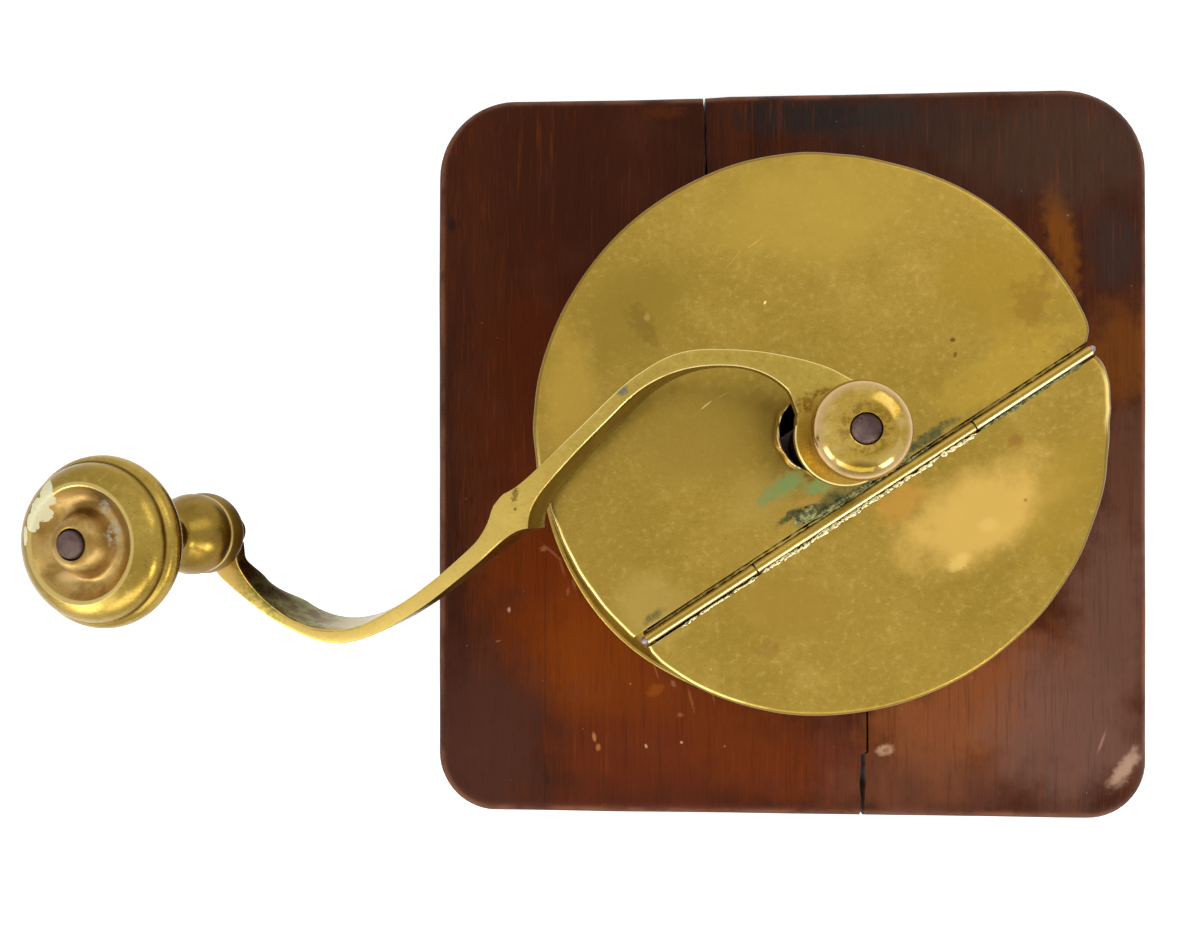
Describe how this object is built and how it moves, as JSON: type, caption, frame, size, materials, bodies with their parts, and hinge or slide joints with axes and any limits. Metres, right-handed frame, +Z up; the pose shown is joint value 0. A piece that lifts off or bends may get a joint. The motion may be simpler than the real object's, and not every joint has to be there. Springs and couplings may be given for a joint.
{
  "type": "hand-cranked box coffee mill",
  "caption": "Square mahogany box mill for coffee with a drawer, round brass hopper with a hinged filler flap, iron burrs and an S-shaped brass crank with a turned knob.",
  "frame": {"origin": "on the crank shaft's axis at the underside of the base board", "axes": "+Z up along the shaft, the drawer front faces -Y, and at rest the crank points roughly along -X"},
  "size_m": [0.2506, 0.1999, 0.2104],
  "materials": {
    "mahogany": "worn dark oiled mahogany",
    "drawer_wood": "plain unfinished wood",
    "hopper_brass": "dull aged brass sheet",
    "lid_brass": "aged brass sheet, lightly polished",
    "crank_brass": "rubbed brass bar",
    "turned_brass": "turned brass, handled smooth",
    "fitting_brass": "dark brass",
    "steel": "darkened steel",
    "burr_iron": "rough cast iron"
  },
  "bodies": {
    "mill": {"adjuster_lock_nut": "fitting_brass", "back_wall": "mahogany", "base_board": "mahogany", "base_screw_1": "steel", "base_screw_2": "steel", "base_screw_3": "steel", "base_screw_4": "steel", "bridge_screw_left": "fitting_brass", "bridge_screw_right": "fitting_brass", "burr_yoke": "steel", "foot_nail_1": "fitting_brass", "foot_nail_2": "fitting_brass", "foot_nail_3": "fitting_brass", "foot_nail_4": "fitting_brass", "foot_nail_5": "fitting_brass", "foot_nail_6": "fitting_brass", "front_wall": "mahogany", "hinge_leaf_fixed": "fitting_brass", "hinge_pin": "steel", "hopper_drum": "hopper_brass", "hopper_funnel": "hopper_brass", "housing_screw_1": "steel", "housing_screw_2": "steel", "housing_screw_3": "steel", "housing_screw_4": "steel", "left_runner": "drawer_wood", "left_wall": "mahogany", "lid_collar": "lid_brass", "lid_plate": "lid_brass", "outer_burr": "burr_iron", "right_runner": "drawer_wood", "right_wall": "mahogany", "top_board": "mahogany", "top_bridge": "steel", "yoke_screw_left": "steel", "yoke_screw_right": "steel"},
    "crank": {"crank_arm": "crank_brass", "crank_shaft": "steel", "burr_cotter": "steel", "inner_burr": "burr_iron", "ball_nut": "turned_brass", "knob_spindle": "steel", "knob_washer": "turned_brass"},
    "knob": {"knob": "turned_brass"},
    "flap": {"filler_flap": "lid_brass", "hinge_leaf_flap": "fitting_brass"},
    "drawer": {"drawer_back": "drawer_wood", "drawer_bottom": "drawer_wood", "drawer_front": "mahogany", "drawer_knob": "turned_brass", "drawer_knob_nut": "turned_brass", "drawer_left_side": "drawer_wood", "drawer_right_side": "drawer_wood"},
    "adjuster": {"adjuster_screw": "fitting_brass"}
  },
  "joints": [
    {"name": "crank_spin", "type": "hinge", "parent": "mill", "child": "crank", "pos_m": [0, 0, 0.183], "axis": [0, 0, -1], "continuous": true},
    {"name": "knob_spin", "type": "hinge", "parent": "crank", "child": "knob", "pos_m": [-0.13507, -0.01995, 0.18959], "axis": [-0.1632, -0.0244, 0.9863], "continuous": true},
    {"name": "flap_hinge", "type": "hinge", "parent": "mill", "child": "flap", "pos_m": [0.00909, -0.01197, 0.1573], "axis": [0.8348, 0.5505, 0], "range_deg": [-94, 0]},
    {"name": "drawer_slide", "type": "slide", "parent": "mill", "child": "drawer", "axis": [0, -1, 0], "range_m": [0, 0.1]},
    {"name": "adjuster_turn", "type": "hinge", "parent": "mill", "child": "adjuster", "pos_m": [0, 0, 0.065], "axis": [0, 0, 1], "range_deg": [-180, 180]}
  ]
}
